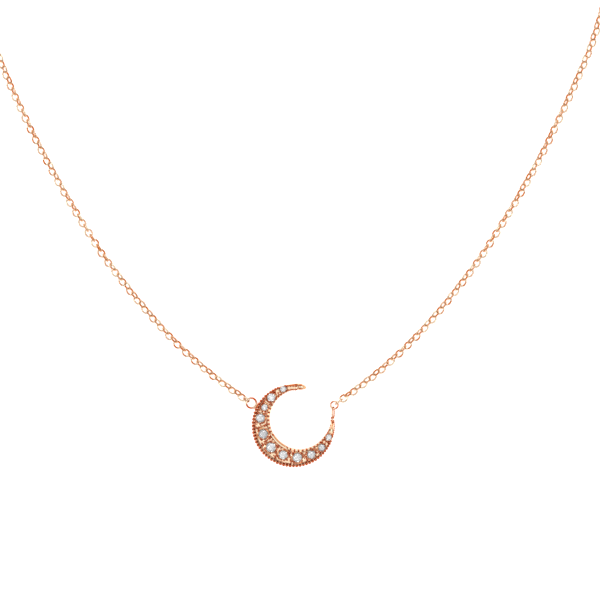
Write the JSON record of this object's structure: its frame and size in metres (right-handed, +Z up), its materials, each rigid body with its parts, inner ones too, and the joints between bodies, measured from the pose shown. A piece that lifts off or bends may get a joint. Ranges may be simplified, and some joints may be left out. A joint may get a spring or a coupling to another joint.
{
  "type": "pendant necklace",
  "caption": "Fine cable-chain necklace with a stone-set crescent pendant joined at both sides, laid flat and unfastened, with a spring ring clasp and an end ring.",
  "frame": {"origin": "on the plane that the necklace lies on, under the middle of the box round the crescent and the rings beside it", "axes": "+Z up off the stones, +Y from the crescent towards the clasp, +X to the crescent's right when its stones face the reader"},
  "size_m": [0.092, 0.1258, 0.0016],
  "materials": {
    "rose_gold": "polished rose gold",
    "diamond": "colourless round brilliants",
    "spring_steel": "fine spring wire"
  },
  "bodies": {
    "pendant": {"crescent": "rose_gold", "stone_01": "diamond", "stone_02": "diamond", "stone_03": "diamond", "stone_04": "diamond", "stone_05": "diamond", "stone_06": "diamond", "stone_07": "diamond", "stone_08": "diamond", "stone_09": "diamond", "stone_10": "diamond", "stone_11": "diamond", "left_ring": "rose_gold", "horn_eye": "rose_gold"},
    "left_link": {"left_end_link": "rose_gold"},
    "left_chain": {"left_chain": "rose_gold"},
    "clasp_ring": {"clasp_jump_ring": "rose_gold"},
    "clasp": {"clasp_eye": "rose_gold", "clasp_body": "rose_gold", "clasp_spring": "spring_steel"},
    "bolt": {"clasp_bolt": "rose_gold"},
    "right_ring": {"right_ring": "rose_gold"},
    "right_chain": {"right_chain": "rose_gold"},
    "end_link": {"end_link": "rose_gold"},
    "end_ring": {"end_ring": "rose_gold"}
  },
  "joints": [
    {"name": "left_link_lift", "type": "hinge", "parent": "pendant", "child": "left_link", "pos_m": [-0.00592, 0.00332, 0.00056], "axis": [1, 0, 0], "range_deg": [0, 90]},
    {"name": "left_chain_swing", "type": "hinge", "parent": "left_link", "child": "left_chain", "pos_m": [-0.00652, 0.00373, 0.00056], "axis": [0, 0, 1], "range_deg": [0, 12]},
    {"name": "clasp_ring_swivel", "type": "hinge", "parent": "left_chain", "child": "clasp_ring", "pos_m": [-0.00633, 0.0754, 0.00056], "axis": [0, 0, 1], "range_deg": [-35, 35]},
    {"name": "clasp_swivel", "type": "hinge", "parent": "clasp_ring", "child": "clasp", "pos_m": [-0.00633, 0.07356, 0.00056], "axis": [0, 0, 1], "range_deg": [-40, 40]},
    {"name": "clasp_bolt_slide", "type": "hinge", "parent": "clasp", "child": "bolt", "pos_m": [-0.00633, 0.07023, 0.00056], "axis": [0, 0, 1], "range_deg": [0, 58], "stiffness_Nm_per_rad": 0.003, "springref_deg": -22.92, "deforming": ["clasp_spring"]},
    {"name": "right_ring_lift", "type": "hinge", "parent": "pendant", "child": "right_ring", "pos_m": [0.00602, 0.00229, 0.00056], "axis": [1, 0, 0], "range_deg": [0, 90]},
    {"name": "right_chain_swing", "type": "hinge", "parent": "right_ring", "child": "right_chain", "pos_m": [0.00643, 0.00304, 0.00056], "axis": [0, 0, -1], "range_deg": [0, 12]},
    {"name": "end_link_swivel", "type": "hinge", "parent": "right_chain", "child": "end_link", "pos_m": [0.00677, 0.0764, 0.00056], "axis": [0, 0, 1], "range_deg": [-35, 35]},
    {"name": "end_ring_swivel", "type": "hinge", "parent": "end_link", "child": "end_ring", "pos_m": [0.00677, 0.07528, 0.00056], "axis": [0, 0, 1], "range_deg": [-40, 40]}
  ]
}
